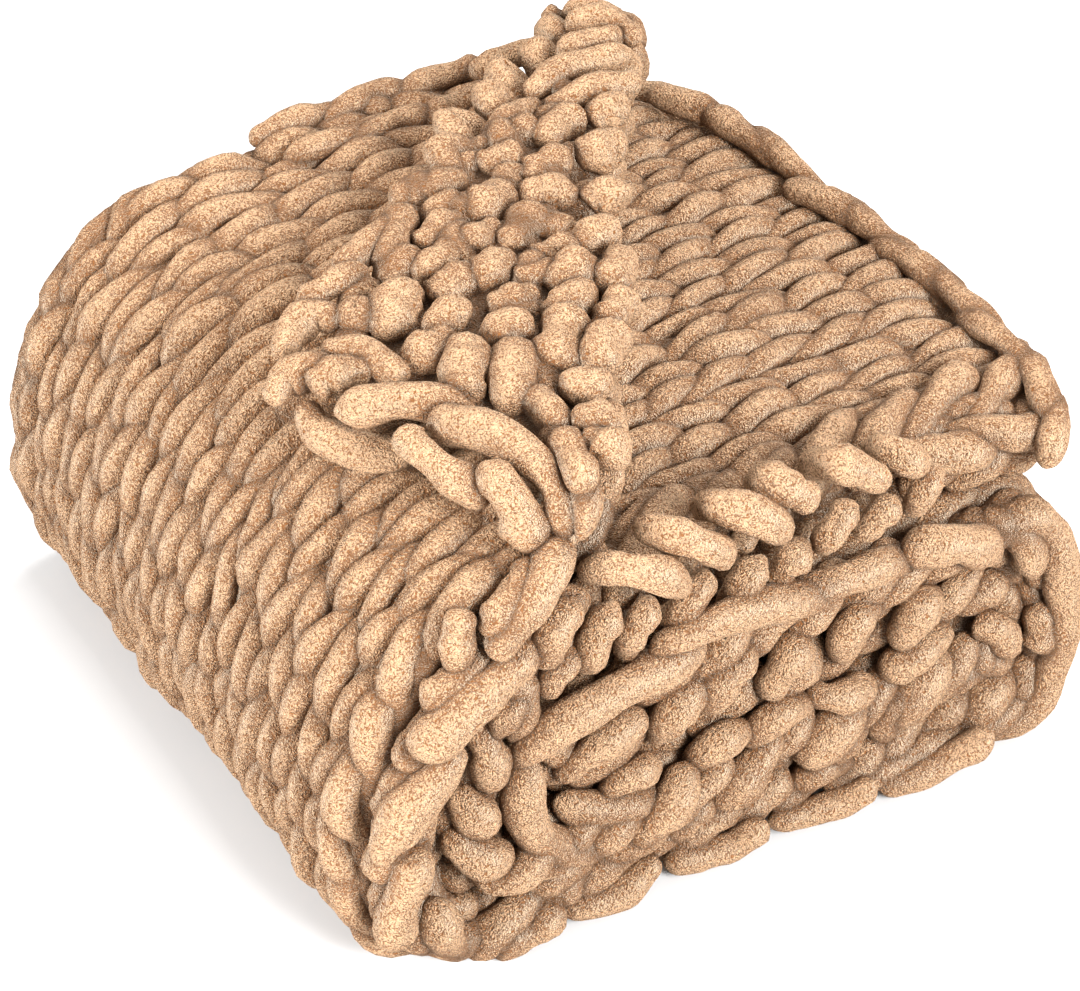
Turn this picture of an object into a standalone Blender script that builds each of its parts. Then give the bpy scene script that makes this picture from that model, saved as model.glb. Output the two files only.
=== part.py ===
"""Chunky knit throw blanket, folded into a six-layer stack with one top corner turned back.

Metres, +Z up. X runs along the folded stack's wide front, Y from the front to the back.
The knit cloth is one closed body: a thick sheet that winds back and forth through the stack.
"""
import math

import bmesh
import bpy
import numpy as np

# overall sizes
CLOTH_WIDTH = 0.484          # across the strip, front selvedge to back selvedge
CLOTH_THICK = 0.035          # thickness of the knit between ribs
RIB_RISE = 0.0024            # how far each wale stands out of the sheet, each side
RIM_RISE = 1.12              # selvedges and bind-off are this much thicker than the sheet
WALES = 11                   # knit columns across the strip
RIB_MARGIN = 0.028           # from a selvedge to the first rib
EDGE_ROUND = ((0.0, 0.45), (0.0045, 0.86), (0.013, RIM_RISE))   # distance in from an edge, share of thickness
LAYER_PITCH = 0.0481         # height from one layer's middle to the next
REST_HEIGHT = 0.0200         # middle of the bottom layer above the floor

# straight runs of the strip, in the order the cloth passes through them
# name, level in the stack (0 = bottom), x where the run starts, x where it ends, pieces along it
RUNS = (
    ("second", 4, 0.221, -0.145, 9),
    ("lower", 1, -0.172, 0.148, 7),
    ("inner", 2, 0.148, -0.132, 6),
    ("middle", 3, -0.132, 0.174, 6),
    ("bottom", 0, 0.186, -0.213, 8),
    ("top", 5, -0.173, 0.300, 8),
)

# turns between one run and the next: side (-1 left, +1 right), reach past the runs' ends, squareness, pieces
TURNS = (
    (-1, 0.0525, 0.80, 8),
    (1, 0.0241, 1.00, 6),
    (-1, 0.0241, 1.00, 6),
    (1, 0.036, 0.85, 8),
    (-1, 0.079, 0.80, 13),
)

# the turned-back corner of the top layer
FLAP_BEND = 0.0225           # radius of the bend along the fold line
FLAP_FRONT_X = -0.163        # where the fold line meets the front selvedge
FLAP_BACK_X = 0.119          # where the fold line meets the back selvedge
FLAP_FRONT_RUN = 0.237       # cloth past the fold line at the front
FLAP_BACK_RUN = 0.077        # cloth past the fold line at the back
FLAP_LEAN = (0.078, 0.270)   # how the laid-back corner leans, along and across, per metre past the bend
BACK_PULL = 0.080            # how far the top layer's back selvedge is drawn in beside the fold
PULL_RAMP = (0.14, 0.24)     # start and length of that, along the top layer
FLAP_BLEND = 0.052           # stations turn with the fold line from here, before the top layer starts
BEND_PIECES = 7
FLAP_PIECES = 8

# soft unevenness of the whole stack
SHOULDER_SINK = 0.054        # share of height lost toward the rounded left side
BACK_SINK = 0.102            # share of height lost at the back right corner
FRONT_SPREAD = 0.005         # how far the lowest layers reach forward at the front right
LEAN_BACK = 0.033            # how far the top of the stack leans back, and to the right
LEAN_RIGHT = 0.012
BOW = 0.025                  # how far the right end bows out at its middle
BOW_REACH = 0.25             # half the stack's footprint, where the bow is measured
FLOOR_PRESS = 0.0062         # ribs lower than this are pressed flat on the floor
SIDE_WAVE = 0.006            # in and out of the selvedges from layer to layer
SWELL = 0.010                # bulge of the stack at mid height
HEAVE = 0.014                # share of height that rises and falls over the stack
SWAY = 0.004                 # how far the layers sway toward front and back
RIGHT_RAMP = (-0.05, 0.30)   # start and length along x of what grows to the right
LEFT_RAMP = (0.02, 0.22)     # the same along -x
BACK_RAMP = (-0.10, 0.34)    # the same along y
FRONT_RAMP = (-0.05, 0.29)   # the same along -y
PATH_STEPS = 40


def ramp(value, bounds):
    """Share of the way along a ramp given by its start and length."""
    return np.clip((value - bounds[0]) / bounds[1], 0.0, 1.0)


def fold_turn(start, end, side, reach, square, steps):
    """Rounded turn of the strip's middle line from one run to the next."""
    points = []
    for i in range(steps + 1):
        angle = math.pi * i / steps
        share = (1.0 - math.cos(angle)) / 2.0
        x = start[0] + (end[0] - start[0]) * share + side * reach * math.sin(angle) ** square
        z = start[1] + (end[1] - start[1]) * share
        points.append((x, z))
    return points


def run_height(level):
    return REST_HEIGHT + level * LAYER_PITCH


def middle_line():
    """The strip's middle line in the XZ plane with the station positions along it."""
    points, stations = [], []
    for i, (_, level, x0, x1, pieces) in enumerate(RUNS):
        z = run_height(level)
        run = [(x0 + (x1 - x0) * k / PATH_STEPS, z) for k in range(PATH_STEPS + 1)]
        begin = path_length(points + run[:1])
        points += run
        finish = path_length(points)
        if i == 0:
            stations += [begin]
        stations += list(np.linspace(begin, finish, pieces + 1)[1:])
        if i < len(TURNS):
            side, reach, square, turn_pieces = TURNS[i]
            nxt = RUNS[i + 1]
            start, end = points[-1], (nxt[2], run_height(nxt[1]))
            turn = fold_turn(start, end, side, reach, square, PATH_STEPS)
            points += turn[1:-1]
            stop = path_length(points + [end])
            stations += list(np.linspace(finish, stop, turn_pieces + 1)[1:])
    top_start = stations[-1 - RUNS[-1][4]]
    return np.array(points), np.array(stations), top_start


def path_length(points):
    pts = np.array(points)
    if len(pts) < 2:
        return 0.0
    return float(np.sum(np.hypot(*(pts[1:] - pts[:-1]).T)))


class Carrier:
    """Follows the middle line by distance and steps off it along its normal."""

    def __init__(self, points):
        seg = points[1:] - points[:-1]
        keep = np.hypot(seg[:, 0], seg[:, 1]) > 1e-7
        self.points = np.vstack([points[:1], points[1:][keep]])
        seg = self.points[1:] - self.points[:-1]
        self.dist = np.concatenate([[0.0], np.cumsum(np.hypot(seg[:, 0], seg[:, 1]))])
        self.tangent = np.gradient(self.points, self.dist, axis=0)

    def place(self, along, lift):
        x = np.interp(along, self.dist, self.points[:, 0])
        z = np.interp(along, self.dist, self.points[:, 1])
        tx = np.interp(along, self.dist, self.tangent[:, 0])
        tz = np.interp(along, self.dist, self.tangent[:, 1])
        size = np.hypot(tx, tz)
        # the left of the walking direction on the top run is up
        return x - lift * tz / size, z + lift * tx / size


def width_stations():
    """Positions across the strip and the sheet's share of thickness at each."""
    half = CLOTH_WIDTH / 2.0
    ribs = np.linspace(RIB_MARGIN - half, half - RIB_MARGIN, 2 * WALES - 3)
    across = [(-half + d, s) for d, s in EDGE_ROUND]
    across += [(y, 1.0 if i % 2 else -1.0) for i, y in enumerate(ribs)]
    across += [(half - d, s) for d, s in reversed(EDGE_ROUND)]
    sizes = []
    for y, share in across:
        if share in (1.0, -1.0):
            sizes.append((y, CLOTH_THICK / 2.0 + RIB_RISE * share))
        else:
            sizes.append((y, CLOTH_THICK / 2.0 * share))
    return np.array(sizes)


def end_taper(count):
    """Rounded bind-off and cast-on ends along the strip."""
    taper = np.ones(count)
    for i, (_, share) in enumerate(EDGE_ROUND):
        taper[i] = taper[-1 - i] = share
    return taper


def fold_normal():
    """Unit normal of the diagonal fold line in the top layer's plane (along, across)."""
    dx = FLAP_BACK_X - FLAP_FRONT_X
    size = math.hypot(dx, CLOTH_WIDTH)
    return np.array((CLOTH_WIDTH / size, -dx / size))


def flap_point(excess, line_along, across, normal):
    """Place cloth that lies past the fold line: returns along, across, lift and its normal."""
    s = excess * normal[0]
    foot = np.array((line_along + excess, across)) - s * normal
    turn = min(s / FLAP_BEND, math.pi)
    reach = FLAP_BEND * math.sin(turn) - max(s - math.pi * FLAP_BEND, 0.0)
    lift = FLAP_BEND * (1.0 - math.cos(turn))
    spot = foot + reach * normal
    spot = spot + max(s - math.pi * FLAP_BEND, 0.0) * np.array(FLAP_LEAN)
    tilt = (math.cos(turn), -math.sin(turn))      # normal: up share, share along the fold normal
    return spot[0], spot[1], lift, tilt


def soften(x, y, z):
    """Uneven lie of the folded stack, the same for every layer so that none cross."""
    top = run_height(5)
    rise = np.clip(z / top, 0.0, 1.3)
    right, left = ramp(x, RIGHT_RAMP), ramp(-x, LEFT_RAMP)
    back, front = ramp(y, BACK_RAMP), ramp(-y, FRONT_RAMP)
    z = z * (1.0 - SHOULDER_SINK * left ** 2 - BACK_SINK * right * back ** 2)
    z = z * (1.0 + HEAVE * np.sin(9.0 * x + 1.0) * np.cos(7.0 * y))
    y = y - FRONT_SPREAD * right * front * (1.0 - 0.8 * np.clip(rise, 0.0, 1.0))
    bulge = SWELL * np.sin(np.pi * np.clip(rise, 0.0, 1.0))
    x = x * (1.0 + bulge * 0.6)
    y = y * (1.0 + bulge * 1.4) + SWAY * np.sin(11.0 * x)
    bow = np.clip(x / BOW_REACH, 0.0, 1.1) ** 2 * (1.0 - 2.0 * (y / BOW_REACH) ** 2)
    return x + BOW * bow + LEAN_RIGHT * rise, y + LEAN_BACK * rise, z


def drawn_in(along, top_start, y):
    """The top layer narrows toward the back end of its fold line."""
    reach = ramp(along - top_start, PULL_RAMP)
    share = (y + CLOTH_WIDTH / 2.0) / CLOTH_WIDTH
    return y - BACK_PULL * reach * reach * (3.0 - 2.0 * reach) * share


def selvedge_shift(along):
    """Each layer lies a little further in or out than the next one."""
    turns = 2 * math.pi * along
    return SIDE_WAVE * (math.sin(turns / 0.97 + 0.6) + 0.5 * math.sin(turns / 0.53))


def sheet_grid():
    """Both faces of the sheet as (stations along, stations across, xyz)."""
    points, stations, top_start = middle_line()
    carrier = Carrier(points)
    widths = width_stations()
    top_x0 = RUNS[-1][2]
    first = [stations[0] + d for d, _ in EDGE_ROUND]
    main = [s for s in stations if 2.0 * first[-1] < s <= top_start - FLAP_BLEND]
    normal = fold_normal()
    upper, lower = [], []
    top_pieces = RUNS[-1][4]
    ends = [d for d, _ in reversed(EDGE_ROUND)]
    count = len(first) + len(main) + top_pieces + BEND_PIECES + FLAP_PIECES + len(ends)
    taper = end_taper(count)
    for j, (y, half) in enumerate(widths):
        share = (y + CLOTH_WIDTH / 2.0) / CLOTH_WIDTH
        line_x = FLAP_FRONT_X + (FLAP_BACK_X - FLAP_FRONT_X) * share
        line_along = top_start + line_x - top_x0
        past = FLAP_FRONT_RUN + (FLAP_BACK_RUN - FLAP_FRONT_RUN) * share
        bend = math.pi * FLAP_BEND / normal[0]
        flat = [main[-1] + (line_along - main[-1]) * (k + 1) / top_pieces for k in range(top_pieces)]
        bends = [line_along + bend * (k + 1) / BEND_PIECES for k in range(BEND_PIECES)]
        tail = line_along + past - bends[-1] - ends[0]
        flaps = [bends[-1] + tail * (k + 1) / (FLAP_PIECES + 1) for k in range(FLAP_PIECES)]
        tips = [line_along + past - e for e in ends]
        row = first + main + flat + bends + flaps + tips
        up, down = [], []
        for i, along in enumerate(row):
            thick = half * taper[i]
            shift = selvedge_shift(min(along, line_along))
            excess = along - line_along
            for side, out in ((1.0, up), (-1.0, down)):
                across = drawn_in(along, top_start, y)
                if excess <= 0.0:
                    x, z = carrier.place(along, side * thick)
                    out.append((x, across + shift, z))
                else:
                    a, c, lift, tilt = flap_point(excess, line_along, across, normal)
                    a2 = a - side * thick * tilt[1] * normal[0] * -1.0
                    c2 = c - side * thick * tilt[1] * normal[1] * -1.0
                    x, z = carrier.place(a2, lift + side * thick * tilt[0])
                    out.append((x, c2 + shift, z))
        upper.append(up)
        lower.append(down)
    return np.array(upper), np.array(lower)


def settle(upper, lower):
    """Soften the stack, then press the underside flat on the floor."""
    grids = []
    for grid in (upper, lower):
        x, y, z = soften(grid[..., 0], grid[..., 1], grid[..., 2])
        grids.append(np.stack([x, y, z], axis=-1))
    for grid in grids:
        low = grid[..., 2] < FLOOR_PRESS
        grid[..., 2] = np.where(low, 0.0, grid[..., 2])
    both = np.concatenate([g.reshape(-1, 3) for g in grids])
    centre = (both.max(axis=0) + both.min(axis=0)) / 2.0
    for grid in grids:
        grid[..., 0] -= centre[0]
        grid[..., 1] -= centre[1]
        grid[..., 2] -= both[:, 2].min()
    return grids


def build_sheet(name, upper, lower):
    """Close the two faces of the sheet into one body."""
    bm = bmesh.new()
    rows, cols = upper.shape[:2]
    top = [[bm.verts.new(upper[j, i]) for i in range(cols)] for j in range(rows)]
    low = [[bm.verts.new(lower[j, i]) for i in range(cols)] for j in range(rows)]
    for j in range(rows - 1):
        for i in range(cols - 1):
            bm.faces.new((top[j][i], top[j][i + 1], top[j + 1][i + 1], top[j + 1][i]))
            bm.faces.new((low[j][i], low[j + 1][i], low[j + 1][i + 1], low[j][i + 1]))
    for i in range(cols - 1):
        bm.faces.new((top[0][i], low[0][i], low[0][i + 1], top[0][i + 1]))
        bm.faces.new((top[-1][i], top[-1][i + 1], low[-1][i + 1], low[-1][i]))
    for j in range(rows - 1):
        bm.faces.new((top[j][0], top[j + 1][0], low[j + 1][0], low[j][0]))
        bm.faces.new((top[j][-1], low[j][-1], low[j + 1][-1], top[j + 1][-1]))
    bmesh.ops.triangulate(bm, faces=bm.faces[:])
    bmesh.ops.recalc_face_normals(bm, faces=bm.faces[:])
    if bm.calc_volume(signed=True) < 0.0:
        bmesh.ops.reverse_faces(bm, faces=bm.faces[:])
    mesh = bpy.data.meshes.new(name)
    bm.to_mesh(mesh)
    bm.free()
    body = bpy.data.objects.new(name, mesh)
    bpy.context.collection.objects.link(body)
    return body


def yarn_material():
    """Soft warm tan chenille."""
    mat = bpy.data.materials.new("chenille_tan")
    mat.use_nodes = True
    shader = mat.node_tree.nodes["Principled BSDF"]
    shader.inputs["Base Color"].default_value = (0.60, 0.37, 0.21, 1.0)
    shader.inputs["Roughness"].default_value = 0.95
    return mat


def main():
    for item in list(bpy.data.objects):
        bpy.data.objects.remove(item, do_unlink=True)
    upper, lower = settle(*sheet_grid())
    body = build_sheet("blanket", upper, lower)
    body.data.materials.append(yarn_material())


main()
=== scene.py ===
import math
import bpy
import numpy as np
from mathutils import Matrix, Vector
from mathutils.kdtree import KDTree


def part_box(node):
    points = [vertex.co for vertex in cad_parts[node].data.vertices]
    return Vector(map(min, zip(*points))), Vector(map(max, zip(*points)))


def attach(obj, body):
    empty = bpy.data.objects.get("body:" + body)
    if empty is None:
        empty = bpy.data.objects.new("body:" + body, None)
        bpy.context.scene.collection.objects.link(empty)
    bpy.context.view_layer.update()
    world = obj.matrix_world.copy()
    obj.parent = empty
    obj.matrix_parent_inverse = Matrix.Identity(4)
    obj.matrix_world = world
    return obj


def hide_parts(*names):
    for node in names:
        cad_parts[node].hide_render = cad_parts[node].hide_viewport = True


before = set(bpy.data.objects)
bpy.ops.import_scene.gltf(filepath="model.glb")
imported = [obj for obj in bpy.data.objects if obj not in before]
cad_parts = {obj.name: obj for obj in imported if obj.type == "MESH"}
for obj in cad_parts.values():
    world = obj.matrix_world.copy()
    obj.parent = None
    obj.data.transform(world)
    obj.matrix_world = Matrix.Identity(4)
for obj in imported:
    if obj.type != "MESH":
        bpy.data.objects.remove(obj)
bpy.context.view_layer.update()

nodeName = "blanket"
bodyName = "root"

# how the strip of cloth lies in the stack, in metres
clothFold = {
    "width": 0.484,
    "sheetThick": 0.035,
    "layerPitch": 0.0481,
    "restHeight": 0.0200,
    # level in the stack, x where a straight run starts, x where it ends, pieces along it
    "runs": (
        (4, 0.221, -0.145, 9),
        (1, -0.172, 0.148, 7),
        (2, 0.148, -0.132, 6),
        (3, -0.132, 0.174, 6),
        (0, 0.186, -0.213, 8),
        (5, -0.173, 0.300, 8),
    ),
    # side, reach past the runs' ends, squareness, pieces round it
    "turns": (
        (-1, 0.0525, 0.80, 8),
        (1, 0.0241, 1.00, 6),
        (-1, 0.0241, 1.00, 6),
        (1, 0.0360, 0.85, 8),
        (-1, 0.0790, 0.80, 13),
    ),
    "turnSteps": 40,
}

# the points that the sheet's two faces are worked out at
sheetGrid = {
    # distance in from an edge, and how much of the thickness is left there
    "edge": ((0.0, 0.45), (0.0045, 0.86), (0.0130, 1.0)),
    "columnInset": 0.028,       # from the selvedge to the outermost of the even columns
    "columns": 19,
    "firstStation": 0.025,
    "topGap": 0.052,            # no station of the big turn lies nearer to the top run
}

# the top layer's corner that is folded back on a diagonal
flapFold = {
    "bend": 0.0225,             # radius of the fold
    "frontX": -0.163,           # where the fold line crosses the front and the back edge
    "backX": 0.119,
    "frontRun": 0.237,          # cloth past that line at either edge
    "backRun": 0.077,
    "lean": (0.078, 0.270),     # drift along and across for each metre turned back
    "backPull": 0.080,          # how far the back edge is drawn in
    "pullFrom": (0.14, 0.24),   # where that begins in the top run, and the length that it grows over
    "bendPieces": 7,
    "flapPieces": 8,
}

# soft unevenness of the whole stack
stackLie = {
    # where each side begins, outward from the middle, and the length that it grows over
    "rightSide": (-0.05, 0.30),
    "leftSide": (0.02, 0.22),
    "backSide": (-0.10, 0.34),
    "frontSide": (-0.05, 0.29),
    "shoulderSink": 0.054,      # how much of its height the left side loses
    "backSink": 0.102,          # and the back right corner
    "heave": (0.014, 9.0, 1.0, 7.0),    # share of the height, radians a metre in x, start, the same in y
    "frontSpread": 0.005,
    "spreadFade": 0.8,          # how much of that spread is gone at the top
    "swell": 0.010,             # half way up the stack
    "swellShares": (0.6, 1.4),  # of it, sideways and from front to back
    "sway": (0.004, 11.0),      # shift along y, and radians a metre in x
    "leanBack": 0.033,
    "leanRight": 0.012,
    "riseMost": 1.3,            # heights above the top layer count up to here
    "bow": 0.025,               # how far the middle of the right side stands out
    "bowReach": 0.25,
    "bowMost": 1.1,
    "bowFade": 2.0,
    "sideWave": 0.006,          # sideways drift along the strip
    "waveLengths": (0.97, 0.53),
    "waveStart": 0.6,
}

# the knitting, in metres where no other measure is named
knitting = {
    "yarnRadius": 0.0104,
    "wales": 11,                # columns of loops across the strip
    "rowPitch": 0.0410,
    "fanFoot": 0.345,           # from the top run's start back to the foot of the big turn
    "fanRows": 14,              # rows from there to the cast-on edge
    "startInset": 0.051,        # from the free edge to the middle of the first row
    "stopInset": 0.040,
    "sideInset": 0.022,         # from the selvedge to the outermost leg
    "loopReach": 1.00,          # half the height of a loop, in rows
    "loopSway": 0.185,          # how far the legs lean, in wales
    "loopFlat": 0.75,           # below one, the legs stay up for more of their length
    "loopDepth": 0.0112,        # legs in front of the middle, heads behind it
    "loopTip": 0.0052,          # how far a loop stands out more at its head than at its foot
    "flapReach": 0.86,          # the same on the turned-back corner
    "flapSway": 0.150,
    "flapFlat": 0.25,           # the loops lie lower there, under the strands laid on them
    "flapFrom": (0.7, 0.05),    # rough reach of a loop in rows, and the length that the change takes
    # how far a wale runs ahead of the next: rows, radians a wale, radians a row, start
    "stagger": ((0.20, 2.6, 0.25, 1.3), (0.11, 5.7, -0.4, 0.0)),
    "jitter": 0.060,            # unevenness from stitch to stitch, in stitches
    "uneven": {"sway": 0.16, "reach": 0.06, "depth": 0.15, "radius": 0.07},     # as shares
    "liftJitter": 0.0016,
    "endShares": (0.3, 0.8),    # of the radius, at the first and second point of a row
    "innerEnds": 2,             # wales at either end of an inner row, where it shows
    "innerStop": 0.03,
    "lump": 0.100,              # unevenness of the yarn's surface, in radii
    "lumpShares": (1.7, 2.2),   # of it, from point to point and along the yarn
    "floorGap": 0.0006,
    "seed": 11,
}


def deselectAll():
    bpy.ops.object.select_all(action="DESELECT")


def ramp(value, start, reach):
    return np.clip((value - start) / reach, 0.0, 1.0)


def runHeight(level):
    return clothFold["restHeight"] + level * clothFold["layerPitch"]


def foldTurn(start, end, side, reach, square):
    steps = clothFold["turnSteps"]
    angle = np.pi * np.arange(steps + 1) / steps
    share = (1.0 - np.cos(angle)) / 2.0
    x = start[0] + (end[0] - start[0]) * share + side * reach * np.clip(np.sin(angle), 0.0, 1.0) ** square
    z = start[1] + (end[1] - start[1]) * share
    return np.stack([x, z], axis=-1)


def middleLine():
    points, stations, length = [], [0.0], 0.0
    stretches = []
    runs = clothFold["runs"]

    def lengthOf(stretch):
        return float(np.sum(np.hypot(*(stretch[1:] - stretch[:-1]).T)))

    for i, (level, x0, x1, pieces) in enumerate(runs):
        z = runHeight(level)
        steps = clothFold["turnSteps"]
        run = np.stack([np.linspace(x0, x1, steps + 1), np.full(steps + 1, z)], axis=-1)
        points.append(run)
        stop = length + lengthOf(run)
        stations += list(np.linspace(length, stop, pieces + 1)[1:])
        stretches.append((length, stop))
        length = stop
        if i < len(clothFold["turns"]):
            side, reach, square, pieces = clothFold["turns"][i]
            after = runs[i + 1]
            turn = foldTurn(run[-1], (after[1], runHeight(after[0])), side, reach, square)
            points.append(turn[1:-1])
            stop = length + lengthOf(turn)
            stations += list(np.linspace(length, stop, pieces + 1)[1:])
            stretches.append((length, stop))
            length = stop
    topStart = stations[-1 - runs[-1][3]]
    return np.vstack(points), np.array(stations), topStart, stretches


def carrierOf(points):
    gap = np.hypot(*(points[1:] - points[:-1]).T)
    points = np.vstack([points[:1], points[1:][gap > 1e-7]])
    gap = np.hypot(*(points[1:] - points[:-1]).T)
    dist = np.concatenate([[0.0], np.cumsum(gap)])
    return {"points": points, "dist": dist, "tangent": np.gradient(points, dist, axis=0)}


linePoints, lineStations, topStart, stretchList = middleLine()
stretchNames = ("second", "secondTurn", "lower", "lowerTurn", "inner", "innerTurn", "middle", "middleTurn",
                "bottom", "bottomTurn", "top")
stretchAt = dict(zip(stretchNames, stretchList))
carrier = carrierOf(linePoints)
topX = clothFold["runs"][-1][1]
foldLength = math.hypot(flapFold["backX"] - flapFold["frontX"], clothFold["width"])
foldNormal = np.array([clothFold["width"], flapFold["frontX"] - flapFold["backX"]]) / foldLength


def stepOff(along, lift):
    # from the middle line out along its normal, in the XZ plane
    dist, points, tangent = carrier["dist"], carrier["points"], carrier["tangent"]
    x, z = np.interp(along, dist, points[:, 0]), np.interp(along, dist, points[:, 1])
    tx, tz = np.interp(along, dist, tangent[:, 0]), np.interp(along, dist, tangent[:, 1])
    x = x - np.minimum(along, 0.0)      # the free edge may run a little past its start
    size = np.hypot(tx, tz)
    return x - lift * tz / size, z + lift * tx / size


def soften(x, y, z):
    rise = np.clip(z / runHeight(clothFold["runs"][-1][0]), 0.0, stackLie["riseMost"])
    height = np.clip(rise, 0.0, 1.0)
    right = ramp(x, *stackLie["rightSide"])
    left = ramp(-x, *stackLie["leftSide"])
    back = ramp(y, *stackLie["backSide"])
    front = ramp(-y, *stackLie["frontSide"])
    z = z * (1.0 - stackLie["shoulderSink"] * left ** 2 - stackLie["backSink"] * right * back ** 2)
    heave, wavesX, startX, wavesY = stackLie["heave"]
    z = z * (1.0 + heave * np.sin(wavesX * x + startX) * np.cos(wavesY * y))
    y = y - stackLie["frontSpread"] * right * front * (1.0 - stackLie["spreadFade"] * height)
    bulge = stackLie["swell"] * np.sin(np.pi * height)
    bulgeX, bulgeY = stackLie["swellShares"]
    sway, swayWaves = stackLie["sway"]
    x = x * (1.0 + bulge * bulgeX)
    y = y * (1.0 + bulge * bulgeY) + sway * np.sin(swayWaves * x)
    reach = stackLie["bowReach"]
    bow = np.clip(x / reach, 0.0, stackLie["bowMost"]) ** 2 * (1.0 - stackLie["bowFade"] * (y / reach) ** 2)
    return x + stackLie["bow"] * bow + stackLie["leanRight"] * rise, y + stackLie["leanBack"] * rise, z


def foldLineAlong(share):
    return topStart + flapFold["frontX"] + (flapFold["backX"] - flapFold["frontX"]) * share - topX


def runPastFold(share):
    return flapFold["frontRun"] + (flapFold["backRun"] - flapFold["frontRun"]) * share


def onCloth(along, across, lift, centre=(0.0, 0.0)):
    along, across, lift = np.broadcast_arrays(*(np.asarray(v, float) for v in (along, across, lift)))
    share = (across + clothFold["width"] / 2.0) / clothFold["width"]
    line = foldLineAlong(share)
    walked = np.minimum(along, line)
    longWave, shortWave = stackLie["waveLengths"]
    circled = 2 * np.pi * walked
    shift = stackLie["sideWave"] * (np.sin(circled / longWave + stackLie["waveStart"])
                                    + 0.5 * np.sin(circled / shortWave))
    pull = ramp(along - topStart, *flapFold["pullFrom"])
    across = across - flapFold["backPull"] * pull * pull * (3.0 - 2.0 * pull) * share
    excess = np.maximum(along - line, 0.0)
    bend = flapFold["bend"]
    past = excess * foldNormal[0]
    turn = np.minimum(past / bend, np.pi)
    over = np.maximum(past - np.pi * bend, 0.0)
    reach = bend * np.sin(turn) - over
    footAlong = np.where(excess > 0.0, line + excess - past * foldNormal[0], along)
    footAcross = across - past * foldNormal[1]
    base = bend * (1.0 - np.cos(turn))
    tiltUp, tiltOut = np.cos(turn), -np.sin(turn)
    a = footAlong + reach * foldNormal[0] + over * flapFold["lean"][0] + lift * tiltOut * foldNormal[0]
    c = footAcross + reach * foldNormal[1] + over * flapFold["lean"][1] + lift * tiltOut * foldNormal[1]
    x, z = stepOff(a, base + lift * tiltUp)
    x, y, z = soften(x, c + shift, z)
    return np.stack([x - centre[0], y - centre[1], z], axis=-1)


def surfaceGrid(half, inset=0.0):
    # both faces of the sheet as stations along by stations across
    width = clothFold["width"]
    depths, shares = ([pair[k] for pair in sheetGrid["edge"]] for k in (0, 1))
    limit = width / 2.0 - inset
    even = limit - sheetGrid["columnInset"]
    inner = np.linspace(-even, even, sheetGrid["columns"])
    across = [d - limit for d in depths] + list(inner) + [limit - d for d in reversed(depths)]
    thick = shares + [1.0] * len(inner) + shares[::-1]
    first = [inset + d for d in depths]
    ends = first[::-1]
    begin = max(first[-1], sheetGrid["firstStation"])
    main = [s for s in lineStations if begin < s <= topStart - sheetGrid["topGap"]]
    topPieces = clothFold["runs"][-1][3]
    faces = {1.0: [], -1.0: []}
    for y, t in zip(across, thick):
        share = (y + width / 2.0) / width
        line = foldLineAlong(share)
        bend = math.pi * flapFold["bend"] / foldNormal[0]
        flat = np.linspace(main[-1], line, topPieces + 1)[1:]
        bends = np.linspace(line, line + bend, flapFold["bendPieces"] + 1)[1:]
        stop = line + runPastFold(share)
        flaps = np.linspace(bends[-1], stop - ends[0], flapFold["flapPieces"] + 2)[1:-1]
        row = np.concatenate([first, main, flat, bends, flaps, [stop - e for e in ends]])
        taper = np.ones(len(row))
        taper[:len(shares)] = shares
        taper[-len(shares):] = shares[::-1]
        for side in faces:
            faces[side].append(onCloth(row, y, side * half * t * taper))
    return np.array(faces[1.0]), np.array(faces[-1.0])


# the solid was centred on its box, so the looks are moved by the same step
rawUpper, rawLower = surfaceGrid(clothFold["sheetThick"] / 2.0)
rawAll = np.concatenate([rawUpper.reshape(-1, 3), rawLower.reshape(-1, 3)])
nodeLow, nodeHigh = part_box(nodeName)
rawCentre = (rawAll.max(axis=0) + rawAll.min(axis=0)) / 2.0
clothCentre = (rawCentre[0] - (nodeLow.x + nodeHigh.x) / 2.0, rawCentre[1] - (nodeLow.y + nodeHigh.y) / 2.0)
print("cloth path ready, centre", [round(c, 4) for c in clothCentre])


def clothPoint(along, across, lift):
    return onCloth(along, across, lift, clothCentre)


def smoothed(values, axis, times=1):
    for _ in range(times):
        values = (values + 0.5 * np.roll(values, 1, axis) + 0.5 * np.roll(values, -1, axis)) / 2.0
    return values


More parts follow.
